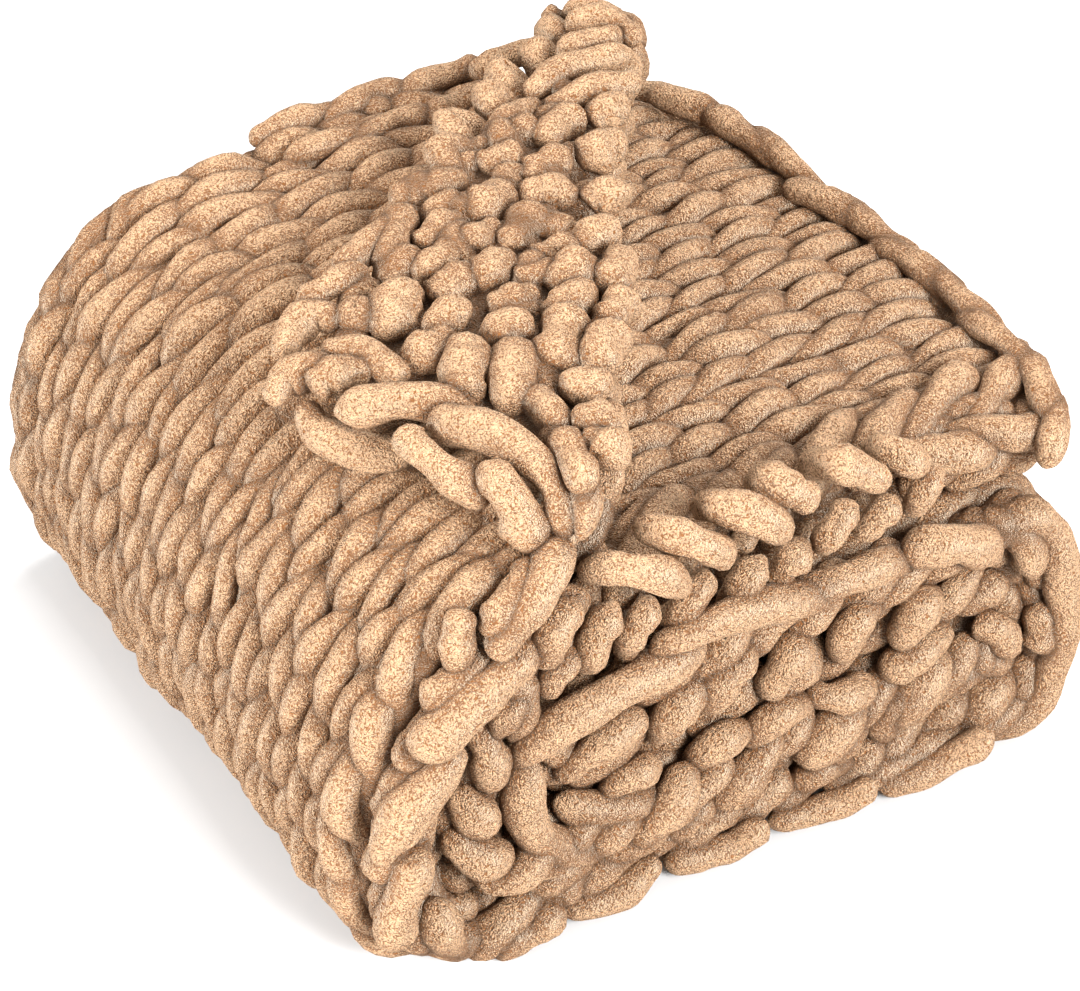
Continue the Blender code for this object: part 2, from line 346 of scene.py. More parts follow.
def sweepYarn(path, radius, sides, rng):
    # path is (threads, points, 3) and radius (threads, points); the frame is carried along each thread
    threads, points = path.shape[:2]
    tangent = np.gradient(path, axis=1)
    tangent /= np.maximum(np.linalg.norm(tangent, axis=-1, keepdims=True), 1e-9)
    side = np.empty_like(path)
    steep = np.abs(tangent[:, 0, 2:3]) > 0.8       # a strand that starts upright is framed from the side
    held = np.cross(tangent[:, 0], np.where(steep, [[1.0, 0.0, 0.0]], [[0.0, 0.0, 1.0]]))
    for i in range(points):
        held = held - np.sum(held * tangent[:, i], axis=-1, keepdims=True) * tangent[:, i]
        held = held / np.linalg.norm(held, axis=-1, keepdims=True)
        side[:, i] = held
    rise = np.cross(tangent, side)
    angle = 2.0 * np.pi * np.arange(sides) / sides
    ring = (side[:, :, None, :] * np.cos(angle)[None, None, :, None]
            + rise[:, :, None, :] * np.sin(angle)[None, None, :, None])
    lump = knitting["lump"]
    pointShare, longShare = knitting["lumpShares"]
    small = smoothed(smoothed(rng.normal(0.0, pointShare * lump, (threads, points, sides)), 1), 2)
    long = smoothed(rng.normal(0.0, longShare * lump, (threads, points, 1)), 1, 3)
    thick = radius[:, :, None] * (1.0 + small + long)
    verts = path[:, :, None, :] + ring * thick[..., None]
    verts[..., 2] = np.maximum(verts[..., 2], knitting["floorGap"])    # pressed flat on the floor
    index = np.arange(threads * points * sides).reshape(threads, points, sides)
    beside = np.roll(index, -1, axis=2)
    quads = np.stack([index[:, :-1], beside[:, :-1], beside[:, 1:], index[:, 1:]], axis=-1).reshape(-1, 4)
    caps = np.concatenate([index[:, 0, ::-1], index[:, -1, :]]).reshape(-1, sides)
    faces = quads.tolist() + caps.tolist()
    return {"verts": verts, "faces": faces, "path": path, "radius": thick.mean(axis=2)}


yarnSweeps = {}


def yarnObject(name, sweeps):
    faces, start = [], 0
    for sweep in sweeps:
        faces += [[k + start for k in face] for face in sweep["faces"]]
        start += sweep["verts"].size // 3
    mesh = bpy.data.meshes.new(name)
    mesh.from_pydata(np.concatenate([s["verts"].reshape(-1, 3) for s in sweeps]).tolist(), [], faces)
    mesh.update()
    piece = bpy.data.objects.new(name, mesh)
    bpy.context.collection.objects.link(piece)
    mesh.polygons.foreach_set("use_smooth", [True] * len(mesh.polygons))
    yarnSweeps[name] = sweeps
    print(name, sum(len(f) - 2 for f in faces), "triangles")
    return piece


fanStart = topStart - knitting["fanFoot"]
flatCount = int(round((fanStart - knitting["startInset"]) / knitting["rowPitch"]))


def rowAlong(row, share):
    # distance along the strip of a row, given as a number with a fraction
    pitch = (fanStart - knitting["startInset"]) / flatCount
    stop = foldLineAlong(share) + runPastFold(share) - knitting["stopInset"]
    fan = (row - flatCount) / knitting["fanRows"]
    return np.where(row < flatCount, knitting["startInset"] + row * pitch, fanStart + fan * (stop - fanStart))


def stitchRow(row, firstWale, lastWale, knitSide, points, rng):
    # one row of loops between two wales, as distances along, across and off the cloth
    count = lastWale - firstWale
    t = 2.0 * np.pi * np.arange(count * points + 1) / points
    spots = np.arange(2 * count + 1) / 2.0

    def uneven(size):
        return np.interp(t / (2.0 * np.pi), spots, rng.normal(0.0, size, len(spots)))

    jitter, loose = knitting["jitter"], knitting["uneven"]
    roughReach, change = knitting["flapFrom"]
    plainShare = (firstWale + t / (2.0 * np.pi)) / knitting["wales"]
    plainAlong = rowAlong(row + roughReach * np.cos(t), plainShare)
    turned = ramp(plainAlong, foldLineAlong(plainShare), change)      # 1 on the turned-back corner
    sway = knitting["loopSway"] + (knitting["flapSway"] - knitting["loopSway"]) * turned
    sway = sway * (1.0 + uneven(loose["sway"]))
    reach = knitting["loopReach"] + (knitting["flapReach"] - knitting["loopReach"]) * turned
    reach = reach * (1.0 + uneven(loose["reach"]))
    wale = firstWale + t / (2.0 * np.pi) + sway * np.sin(2.0 * t) + uneven(jitter)
    ahead = sum(size * np.sin(byWale * wale + byRow * row + begin)
                for size, byWale, byRow, begin in knitting["stagger"])
    rowAt = row + reach * np.cos(t) + ahead + uneven(jitter)
    swing = np.cos(2.0 * t)
    bulge = np.sign(swing) * np.abs(swing) ** knitting["loopFlat"]
    rise = -knitting["loopDepth"] * bulge * (1.0 + uneven(loose["depth"])) - knitting["loopTip"] * np.cos(t)
    lift = knitSide * rise * (1.0 - knitting["flapFlat"] * turned) + uneven(knitting["liftJitter"])
    share = wale / knitting["wales"]
    across = (share - 0.5) * (clothFold["width"] - 2.0 * knitting["sideInset"])
    return rowAlong(rowAt, share), across, lift, 1.0 + uneven(loose["radius"])


def knitPiece(name, rows, knitSide, points, sides):
    # rows: (row, first wale, last wale)
    rng = np.random.default_rng(knitting["seed"] + len(name) * 7)
    sweeps = []
    for row, first, last in rows:
        along, across, lift, swell = stitchRow(row, first, last, knitSide, points, rng)
        radius = knitting["yarnRadius"] * swell
        radius[:2] *= knitting["endShares"]
        radius[-2:] *= knitting["endShares"][::-1]
        sweeps.append(sweepYarn(clothPoint(along, across, lift)[None], radius[None], sides, rng))
    return yarnObject(name, sweeps)


wales, shown = knitting["wales"], knitting["innerEnds"]
secondRows, lowerRows, innerRows, topRows = [], [], [], []
for row in range(flatCount + knitting["fanRows"] + 1):
    along = float(rowAlong(float(row), 0.5))
    if along < stretchAt["second"][1]:
        secondRows.append((row, 0, wales))
    elif along < stretchAt["middle"][1] - knitting["innerStop"]:
        innerRows += [(row, 0, shown), (row, wales - shown, wales)]
    elif row < flatCount:
        lowerRows.append((row, 0, wales))
    else:
        topRows.append((row, 0, wales))
print("rows", len(secondRows), len(innerRows) // 2, len(lowerRows), len(topRows))

# points along a stitch and sides of the yarn
stitchDetail = {"shown": (34, 14), "low": (26, 10), "inner": (22, 10)}
knitSecond = knitPiece("knitSecond", secondRows, -1.0, *stitchDetail["shown"])
knitInner = knitPiece("knitInner", innerRows, 1.0, *stitchDetail["inner"])
knitBottom = knitPiece("knitBottom", lowerRows, 1.0, *stitchDetail["low"])
knitTop = knitPiece("knitTop", topRows, 1.0, *stitchDetail["shown"])

# the selvedges: rows of links, each a short bowed length of yarn that tucks under the next.
# stretch, from and to as shares of it, spacing, length, out from the edge and lift at a link's start,
# middle and end, radius; minus is inside the edge, and under the knit side of the outermost layer
selvedgeLinks = (
    ("second", 0.07, 0.32, 0.041, 0.070, (0.004, 0.002, -0.018), (-0.002, -0.009, -0.006), 0.0118),
    ("second", 0.02, 0.30, 0.036, 0.046, (-0.012, 0.000, -0.014), (-0.004, 0.008, 0.021), 0.0116),
    ("second", 0.04, 0.98, 0.041, 0.074, (-0.044, -0.022, -0.002), (-0.010, -0.0190, -0.004), 0.0120),
    ("second", 0.00, 1.00, 0.040, 0.052, (-0.026, -0.018, -0.026), (0.018, 0.026, 0.030), 0.0118),
    ("secondTurn", 0.00, 1.00, 0.034, 0.036, (-0.010, 0.000, -0.010), (-0.014, 0.000, 0.014), 0.0116),
    ("lower", 0.00, 1.00, 0.033, 0.046, (-0.010, 0.002, -0.008), (-0.017, -0.001, 0.017), 0.0120),
    ("lower", 0.00, 1.00, 0.040, 0.052, (-0.024, -0.016, -0.024), (-0.030, -0.025, -0.018), 0.0118),
    ("lowerTurn", 0.00, 1.00, 0.030, 0.026, (-0.010, 0.000, -0.010), (-0.013, 0.001, 0.014), 0.0116),
    ("inner", 0.00, 1.00, 0.038, 0.048, (-0.009, 0.000, -0.009), (-0.016, 0.001, 0.016), 0.0122),
    ("inner", 0.00, 1.00, 0.044, 0.052, (-0.024, -0.014, -0.024), (0.018, 0.024, 0.028), 0.0118),
    ("innerTurn", 0.00, 1.00, 0.030, 0.026, (-0.010, -0.002, -0.010), (-0.013, 0.001, 0.014), 0.0116),
    ("middle", 0.00, 1.00, 0.035, 0.046, (-0.009, 0.002, -0.009), (-0.016, 0.001, 0.017), 0.0120),
    ("middle", 0.00, 1.00, 0.042, 0.050, (-0.024, -0.015, -0.024), (-0.028, -0.024, -0.018), 0.0118),
    ("middleTurn", 0.00, 1.00, 0.036, 0.044, (-0.010, -0.002, -0.006), (-0.014, -0.004, 0.006), 0.0118),
    ("middleTurn", 0.00, 1.00, 0.038, 0.044, (-0.020, -0.010, -0.018), (-0.030, -0.024, -0.012), 0.0120),
    ("bottom", 0.00, 1.00, 0.036, 0.046, (-0.010, 0.000, -0.006), (-0.020, -0.009, 0.003), 0.0118),
    ("bottomTurn", 0.00, 1.00, 0.039, 0.050, (-0.004, 0.002, -0.010), (-0.003, -0.010, -0.020), 0.0114),
    ("bottomTurn", 0.00, 1.00, 0.041, 0.050, (-0.014, -0.008, -0.018), (-0.018, -0.026, -0.034), 0.0116),
    ("bottomTurn", 0.00, 1.00, 0.041, 0.050, (-0.022, -0.016, -0.026), (-0.034, -0.042, -0.050), 0.0120),
    ("top", 0.00, 1.00, 0.039, 0.050, (-0.004, 0.002, -0.010), (-0.003, -0.010, -0.020), 0.0114),
)

# in front, the links that show best are laid one by one, so these are at the back only
backLinks = (
    ("second", 0.32, 1.00, 0.041, 0.074, (0.006, 0.004, -0.018), (-0.002, -0.011, -0.006), 0.0128),
    ("second", 0.30, 0.98, 0.036, 0.046, (-0.012, 0.000, -0.014), (-0.004, 0.008, 0.021), 0.0116),
    ("bottom", 0.00, 1.00, 0.036, 0.045, (-0.004, 0.006, -0.002), (0.002, 0.007, 0.004), 0.0122),
    ("bottomTurn", 0.00, 0.94, 0.038, 0.062, (-0.022, -0.004, 0.000), (0.008, 0.006, -0.010), 0.0112),
    ("top", -0.60, 0.90, 0.038, 0.062, (-0.022, -0.004, 0.000), (0.008, 0.006, -0.010), 0.0112),
    ("flap", 0.00, 0.90, 0.032, 0.046, (-0.026, 0.000, 0.004), (-0.008, -0.015, 0.000), 0.0126),
    ("flap", 0.06, 0.94, 0.032, 0.045, (0.004, -0.010, -0.028), (0.003, -0.014, -0.012), 0.0124),
)

# single lengths of yarn that run on along the selvedge: stretch and share, out and lift, then the next point
selvedgeRuns = (
    (("second", 0.46, -0.004, 0.016), ("second", 0.60, 0.009, 0.022), ("second", 0.98, 0.010, 0.015),
     ("secondTurn", 0.25, 0.010, 0.000), ("secondTurn", 0.60, 0.010, -0.004),
     ("secondTurn", 0.98, 0.010, -0.010), ("lower", 0.16, 0.008, -0.014), ("lower", 0.30, -0.008, -0.014)),
    (("middle", 0.84, -0.004, 0.004), ("middle", 0.99, 0.009, 0.008), ("middleTurn", 0.25, 0.010, 0.010),
     ("middleTurn", 0.55, 0.010, 0.010), ("middleTurn", 0.98, 0.008, 0.008), ("bottom", 0.10, -0.006, 0.004)),
)

edgeYarn = {
    "points": 20,
    "sides": 12,
    "wander": 0.0022,           # how far a link strays from its place
    "alongShare": 1.2,          # of that, along the edge
    "lengthSpread": (0.88, 1.16),
    "liftSpread": (0.75, 1.12),
    "radiusSpread": (0.92, 1.10),
    "laidSpread": (0.95, 1.05),     # of the radii of strands laid one by one
    "roundness": 5.0,           # how blunt the ends are
    "tipShare": 0.03,           # what is left of the radius at the very end, squared
    "runRadius": 0.0120,
    "runStep": 0.006,
    "runRoundness": 40,
    "inset": 0.0115,            # from the cloth's edge to the middle of a strand that lies on it
    "boundInset": 0.012,
    "selvedgeSeed": 51,
    "boundSeed": 80,
    "cornerSeed": 91,
}


def stretchSpan(name, share):
    # where a stretch starts and stops along the selvedge at that side
    line = float(foldLineAlong(share))
    if name == "top":
        return stretchAt["bottomTurn"][1], line
    if name == "flap":
        return line, line + float(runPastFold(share))
    return stretchAt[name]


def throughThree(t, ends):
    return ends[0] * (1 - t) * (1 - 2 * t) + 4 * ends[1] * t * (1 - t) + ends[2] * t * (2 * t - 1)


def strandShares():
    # places along a strand, closer together toward its ends
    return (1.0 - np.cos(np.pi * np.linspace(0.0, 1.0, edgeYarn["points"]))) / 2.0


def bluntEnds(t, roundness):
    return np.sqrt(np.clip(1.0 - np.abs(2.0 * t - 1.0) ** roundness, edgeYarn["tipShare"], 1.0))


def linkRow(place, start, stop, pitch, length, out, lift, radius, rng):
    # place(along, out, lift) gives world points
    count = max(int(round((stop - start) / pitch)), 1)
    middle = start + (np.arange(count) + 0.5) * (stop - start) / count
    t = strandShares()
    wander = edgeYarn["wander"]
    middle = middle + rng.normal(0.0, wander * edgeYarn["alongShare"], count)
    size = length * rng.uniform(*edgeYarn["lengthSpread"], count)
    along = middle[:, None] + (t[None] - 0.5) * size[:, None]

    def strayed():
        return rng.normal(0.0, wander, (count, 1))

    outAt = throughThree(t, out)[None] + strayed() + strayed() * t
    liftAt = throughThree(t, lift)[None] * rng.uniform(*edgeYarn["liftSpread"], (count, 1)) + strayed()
    radii = radius * rng.uniform(*edgeYarn["radiusSpread"], (count, 1))
    thick = radii * bluntEnds(t, edgeYarn["roundness"])[None]
    return sweepYarn(place(along, outAt, liftAt), thick, edgeYarn["sides"], rng)


def selvedgePlace(side):
    edge = clothFold["width"] / 2.0 - edgeYarn["inset"]
    return lambda along, out, lift: clothPoint(along, side * (edge + out), lift)


def runningStrand(side, spots, rng):
    share = 0.5 + 0.5 * side
    along = []
    for name, part, _, _ in spots:
        start, stop = stretchSpan(name, share)
        along.append(start + part * (stop - start))
    fine = np.arange(along[0], along[-1], edgeYarn["runStep"])
    out = smoothed(np.interp(fine, along, [spot[2] for spot in spots]), 0, 3)
    lift = smoothed(np.interp(fine, along, [spot[3] for spot in spots]), 0, 3)
    t = np.linspace(0.0, 1.0, len(fine))
    thick = edgeYarn["runRadius"] * bluntEnds(t, edgeYarn["runRoundness"])
    path = selvedgePlace(side)(fine, out, lift)
    return sweepYarn(path[None], thick[None], edgeYarn["sides"], rng)


# lengths of yarn laid one by one where the photo shows them: radius, then points along each, in millimetres
cornerStrands = (
    (10.5, (-192, -27, 307), (-179, -11, 310), (-163, -7, 312), (-158, -23, 313)),
    (10.5, (-153, -28, 311), (-141, -21, 315), (-142, -36, 312)),
    (11.1, (-215, -62, 305), (-206, -49, 308), (-193, -53, 311), (-181, -67, 312)),
    (11.1, (-179, -46, 312), (-165, -55, 315), (-155, -72, 316), (-150, -91, 313)),
    (10.5, (-199, -71, 314), (-179, -69, 316), (-162, -70, 312)),
    (11.7, (-199, -98, 315), (-182, -106, 318), (-161, -111, 318), (-144, -123, 317), (-133, -143, 314)),
    (11.7, (-200, -65, 303), (-201, -76, 292), (-192, -96, 286), (-176, -114, 286), (-163, -125, 290)),
    (12.3, (-174, -134, 314), (-173, -159, 313), (-165, -176, 306), (-149, -185, 292)),
    (11.7, (-154, -128, 312), (-146, -154, 319), (-129, -176, 319), (-124, -205, 309), (-128, -228, 284)),
    (12.3, (-152, -182, 315), (-149, -198, 310), (-145, -212, 297), (-146, -219, 276)),
    (9.9, (-106, -172, 314), (-105, -203, 312), (-111, -225, 303), (-122, -236, 287)),
    (9.3, (-167, 9, 310), (-142, 11, 315), (-114, 17, 312)),
    (9.3, (-132, 26, 312), (-106, 33, 316), (-77, 51, 314)),
    (11.7, (-106, 9, 313), (-91, 26, 318), (-68, 54, 315)),
    (9.3, (-70, 65, 314), (-43, 72, 318), (-17, 78, 316)),
    (9.3, (-26, 82, 315), (-2, 86, 319), (24, 94, 317)),
    (9.3, (14, 94, 317), (38, 102, 321), (63, 112, 319)),
    (9.9, (61, 123, 318), (88, 131, 321), (121, 131, 323), (144, 125, 322)),
    (9.3, (103, 154, 320), (123, 152, 324), (150, 147, 322)),
    (9.9, (126, 177, 320), (142, 177, 323), (154, 162, 324), (150, 136, 323)),
    (11.5, (63, 102, 318), (85, 102, 322), (109, 99, 323), (129, 93, 321)),
    (13.0, (40, 68, 316), (54, 77, 322), (74, 81, 318)),
    (12.3, (79, 76, 318), (92, 76, 323), (105, 76, 320)),
    (13.0, (50, 37, 317), (66, 39, 323), (80, 36, 319)),
    (11.5, (-5, 64, 315), (8, 66, 320), (21, 66, 317)),
    (10.1, (-23, 73, 315), (-9, 75, 319), (5, 76, 316)),
    (12.3, (10, 40, 316), (26, 43, 321), (45, 44, 318)),
    (10.8, (12, 86, 316), (28, 85, 320), (47, 88, 318)),
    (12.3, (-2, 25, 315), (14, 21, 321), (22, 4, 317)),
    (13.0, (30, 1, 317), (41, -2, 322), (46, -15, 318)),
    (13.0, (-41, 22, 314), (-25, 28, 319), (-6, 38, 316)),
    (10.8, (-57, 63, 313), (-37, 63, 318), (-19, 64, 315)),
    (10.8, (-63, 41, 313), (-47, 41, 318), (-29, 42, 315)),
    (11.5, (-79, 17, 313), (-63, 21, 318), (-43, 29, 315)),
    (13.0, (-34, -13, 314), (-19, -5, 320), (-1, 1, 316)),
    (12.3, (-5, -37, 316), (8, -36, 321), (28, -33, 318)),
    (10.8, (-59, -2, 314), (-44, 3, 319), (-30, 7, 316)),
    (10.8, (-25, -38, 316), (-12, -37, 320), (-4, -44, 317)),
    (13.0, (-93, -12, 312), (-77, -4, 317), (-58, 7, 314)),
    (13.0, (-70, -37, 313), (-56, -31, 319), (-40, -25, 315)),
    (13.7, (-34, -66, 315), (-19, -62, 321), (-2, -59, 317)),
    (12.3, (-12, -80, 316), (2, -76, 322), (17, -58, 318)),
    (12.3, (-97, -34, 312), (-83, -29, 317), (-69, -28, 314)),
    (10.8, (-45, -48, 315), (-35, -50, 320), (-26, -53, 317)),
    (13.7, (-138, -47, 310), (-125, -34, 316), (-106, -18, 312)),
    (13.7, (-113, -62, 311), (-100, -56, 317), (-90, -61, 313)),
    (12.3, (-75, -63, 313), (-61, -64, 319), (-46, -63, 315)),
    (13.0, (-52, -86, 314), (-37, -85, 320), (-19, -76, 316)),
    (13.0, (-34, -112, 315), (-20, -109, 321), (-4, -94, 317)),
    (13.7, (-94, -91, 312), (-81, -88, 318), (-66, -86, 314)),
    (12.3, (-141, -73, 311), (-127, -77, 316), (-108, -72, 313)),
    (14.4, (-104, -86, 312), (-121, -109, 317), (-131, -125, 312)),
    (13.7, (-79, -102, 313), (-99, -128, 318), (-110, -149, 313)),
    (14.4, (-76, -130, 313), (-61, -116, 320), (-42, -100, 315)),
    (13.0, (-57, -147, 315), (-42, -133, 321), (-26, -119, 317)),
    (10.8, (-95, -144, 314), (-98, -166, 319), (-99, -182, 315)),
    (12.3, (-81, -153, 314), (-69, -158, 320), (-63, -168, 316)),
    (13.0, (-89, -182, 314), (-80, -190, 320), (-75, -199, 316)),
    (13.0, (-94, -200, 314), (-89, -213, 320), (-93, -223, 315)),
    (11.5, (-101, -185, 314), (-109, -212, 319), (-116, -231, 315)),
)

frontStrands = (
    (12.3, (-128, -224, 285), (-142, -236, 272), (-156, -244, 260), (-174, -246, 249), (-184, -244, 236)),
    (11.1, (-144, -220, 273), (-157, -232, 264), (-173, -238, 257), (-185, -240, 248)),
    (13.6, (-154, -241, 232), (-184, -247, 217), (-212, -248, 203), (-235, -245, 186)),
    (14.2, (-207, -244, 182), (-228, -250, 164), (-250, -251, 144), (-260, -248, 119)),
    (14.8, (-235, -247, 117), (-246, -252, 97), (-254, -252, 69), (-250, -249, 46)),
    (13.0, (-224, -249, 69), (-225, -252, 48), (-210, -251, 24)),
    (10.5, (-193, -228, 263), (-198, -232, 244), (-200, -232, 224)),
    (11.1, (-192, -248, 12), (-175, -252, 12), (-154, -253, 18), (-148, -256, 28)),
    (11.1, (-139, -245, 12), (-119, -252, 12), (-94, -252, 14), (-78, -257, 30)),
    (10.5, (-66, -247, 12), (-43, -253, 12), (-18, -257, 14), (-4, -264, 30)),
    (10.5, (8, -252, 12), (31, -257, 12), (57, -262, 14), (73, -271, 30)),
    (10.5, (85, -262, 12), (115, -265, 12), (139, -271, 20), (155, -280, 40)),
    (11.1, (67, -252, 16), (99, -254, 18), (142, -254, 18), (186, -254, 21), (215, -252, 30)),
    (11.1, (163, -239, 180), (182, -246, 170), (196, -251, 148), (200, -250, 126)),
    (11.7, (209, -245, 95), (212, -252, 77), (210, -253, 63)),
    (12.3, (99, -246, 187), (127, -252, 184), (168, -248, 160)),
    (11.1, (138, -240, 49), (153, -244, 60), (196, -240, 50)),
    (10.5, (109, -240, 175), (69, -248, 187), (36, -249, 190), (12, -246, 191)),
    (11.1, (53, -246, 178), (12, -254, 194), (-25, -256, 204), (-58, -254, 203), (-81, -248, 192)),
    (11.7, (-42, -246, 183), (-84, -253, 182), (-125, -254, 178), (-152, -251, 166), (-170, -244, 145)),
    (13.0, (-158, -244, 146), (-165, -248, 114), (-156, -250, 78), (-124, -250, 63), (-89, -244, 61)),
    (11.1, (-111, -226, 250), (-99, -248, 264), (-83, -254, 258), (-63, -244, 231)),
    (11.7, (-73, -222, 265), (-62, -246, 270), (-49, -253, 263), (-34, -244, 242)),
    (11.1, (-29, -218, 255), (-23, -244, 271), (-8, -252, 263), (6, -243, 242)),
    (11.7, (9, -216, 260), (12, -244, 272), (28, -248, 258)),
    (11.7, (46, -216, 256), (52, -245, 272), (80, -246, 248)),
    (10.5, (91, -216, 248), (96, -240, 259), (112, -244, 244)),
    (8.6, (-177, -235, 165), (-171, -246, 192), (-153, -237, 192)),
    (9.3, (-144, -235, 183), (-140, -246, 208), (-123, -237, 206)),
    (10.5, (-144, -235, 209), (-143, -246, 239), (-124, -237, 243)),
    (11.1, (-117, -235, 193), (-114, -246, 223), (-99, -237, 230)),
    (9.3, (-90, -235, 188), (-87, -246, 218), (-73, -237, 221)),
    (10.5, (-57, -235, 191), (-53, -246, 219), (-36, -237, 224)),
    (10.5, (-18, -235, 190), (-15, -246, 215), (3, -237, 219)),
    (9.9, (14, -235, 191), (16, -246, 216), (32, -237, 218)),
    (9.9, (46, -235, 206), (48, -246, 230), (64, -237, 232)),
    (9.9, (76, -235, 205), (80, -246, 224), (98, -237, 223)),
    (9.3, (113, -235, 208), (112, -246, 231), (127, -237, 234)),
    (10.5, (-139, -240, 118), (-116, -251, 139), (-82, -241, 140)),
    (11.7, (-139, -240, 98), (-113, -247, 83), (-85, -248, 77), (-68, -241, 74)),
    (9.3, (-107, -240, 88), (-95, -251, 104), (-71, -241, 94)),
    (11.1, (-71, -240, 114), (-61, -251, 144), (-37, -241, 145)),
    (11.1, (-39, -240, 126), (-28, -251, 155), (-7, -241, 156)),
    (10.5, (11, -240, 112), (13, -251, 142), (34, -241, 145)),
    (11.1, (62, -240, 118), (62, -251, 149), (85, -241, 152)),
    (10.5, (108, -240, 105), (109, -251, 136), (134, -241, 138)),
    (11.1, (39, -240, 100), (53, -251, 96), (83, -241, 86)),
    (11.7, (94, -240, 87), (108, -251, 100), (142, -241, 103)),
    (12.3, (100, -240, 33), (97, -251, 65), (127, -241, 58)),
    (11.1, (-2, -240, 77), (8, -251, 101), (38, -241, 90)),
    (11.1, (61, -240, 26), (60, -251, 55), (84, -241, 54)),
    (10.5, (-46, -240, 80), (-35, -251, 99), (-6, -241, 90)),
    (10.5, (-7, -240, 35), (-7, -251, 63), (10, -241, 63)),
    (9.9, (29, -240, 16), (41, -251, 38), (76, -241, 20)),
    (9.9, (-61, -240, 31), (-51, -251, 50), (-32, -241, 44)),
    (10.5, (-108, -240, 35), (-86, -251, 50), (-63, -241, 44)),
)

backStrands = (
    (9.3, (-85, 229, 275), (-52, 233, 277), (-19, 230, 277)),
    (9.6, (-33, 221, 277), (5, 233, 277), (39, 230, 275)),
    (9.3, (26, 224, 275), (61, 232, 276), (93, 230, 275)),
    (9.3, (77, 221, 277), (106, 223, 281), (133, 224, 278)),
    (8.9, (-77, 197, 276), (-48, 196, 279), (-18, 194, 278)),
    (9.3, (-31, 188, 278), (3, 194, 279), (34, 195, 276)),
    (9.3, (22, 189, 277), (56, 196, 276), (86, 198, 272)),
)

boundStrands = (
    (9.9, (207, 201, 231), (218, 166, 238), (233, 130, 231)),
    (10.2, (226, 168, 231), (228, 117, 238), (237, 75, 231)),
    (9.9, (234, 125, 231), (234, 76, 238), (235, 23, 231)),
    (10.2, (221, 56, 231), (230, 20, 238), (245, -18, 231)),
    (9.9, (237, 27, 231), (237, -22, 238), (243, -69, 231)),
    (10.2, (234, -25, 231), (237, -70, 238), (245, -109, 231)),
    (9.9, (243, -67, 231), (239, -114, 238), (241, -156, 231)),
    (9.9, (234, -119, 231), (234, -161, 238), (235, -203, 231)),
    (9.9, (241, -159, 228), (228, -206, 236), (214, -240, 226)),
    (9.3, (233, -208, 224), (212, -242, 228), (198, -252, 214)),
)


def laidStrands(table, rng):
    # a smooth length of yarn through each row's points
    sweeps, t = [], strandShares()
    for radius, *spots in table:
        spots = np.array(spots) / 1000.0
        steps = np.linalg.norm(np.diff(spots, axis=0), axis=1)
        at = np.concatenate([[0.0], np.cumsum(steps)]) / steps.sum()
        curve = [np.polyval(np.polyfit(at, spots[:, i], min(len(at) - 1, 3)), t) for i in range(3)]
        thick = radius / 1000.0 * rng.uniform(*edgeYarn["laidSpread"]) * bluntEnds(t, edgeYarn["roundness"])
        sweeps.append(sweepYarn(np.stack(curve, axis=-1)[None], thick[None], edgeYarn["sides"], rng))
    return sweeps


def selvedge(name, side):
    rng = np.random.default_rng(edgeYarn["selvedgeSeed"] + int(side))
    sweeps = []
    table = selvedgeLinks + (backLinks if side > 0.0 else ())
    for stretch, first, last, pitch, length, out, lift, radius in table:
        start, stop = stretchSpan(stretch, 0.5 + 0.5 * side)
        span = stop - start
        sweeps.append(linkRow(selvedgePlace(side), start + first * span, start + last * span, pitch, length,
                              out, lift, radius, rng))
    for spots in selvedgeRuns if side > 0.0 else selvedgeRuns[1:]:
        sweeps.append(runningStrand(side, spots, rng))
    sweeps += laidStrands(frontStrands if side < 0.0 else backStrands, rng)
    return yarnObject(name, sweeps)


selvedgeFront = selvedge("selvedgeFront", -1.0)
selvedgeBack = selvedge("selvedgeBack", 1.0)


# the free end is bound off with a chain that lies along it: spacing, length, out and lift at a link's start,
# middle and end, radius
boundLinks = (
    (0.042, 0.070, (-0.010, -0.004, -0.012), (-0.008, -0.004, 0.004), 0.0112),
    (0.040, 0.060, (-0.008, 0.000, -0.004), (0.004, 0.010, 0.012), 0.0112),
)


def freePlace(across, out, lift):
    return clothPoint(edgeYarn["inset"] - out, across, lift)


def freeEnd(name):
    rng = np.random.default_rng(edgeYarn["boundSeed"])
    half = clothFold["width"] / 2.0 - edgeYarn["boundInset"]
    sweeps = laidStrands(boundStrands, rng)
    for pitch, length, out, lift, radius in boundLinks:
        sweeps.append(linkRow(freePlace, -half, half, pitch, length, out, lift, radius, rng))
    return yarnObject(name, sweeps)


def turnedCorner(name):
    return yarnObject(name, laidStrands(cornerStrands, np.random.default_rng(edgeYarn["cornerSeed"])))


boundFree = freeEnd("boundFree")
boundCorner = turnedCorner("boundCorner")


# the ground sheet inside the loops, where the yarn's inner lengths cross
groundCloth = {
    "half": 0.0105,             # of its thickness
    "inset": 0.019,             # how far it stops short of the cloth's edges
}


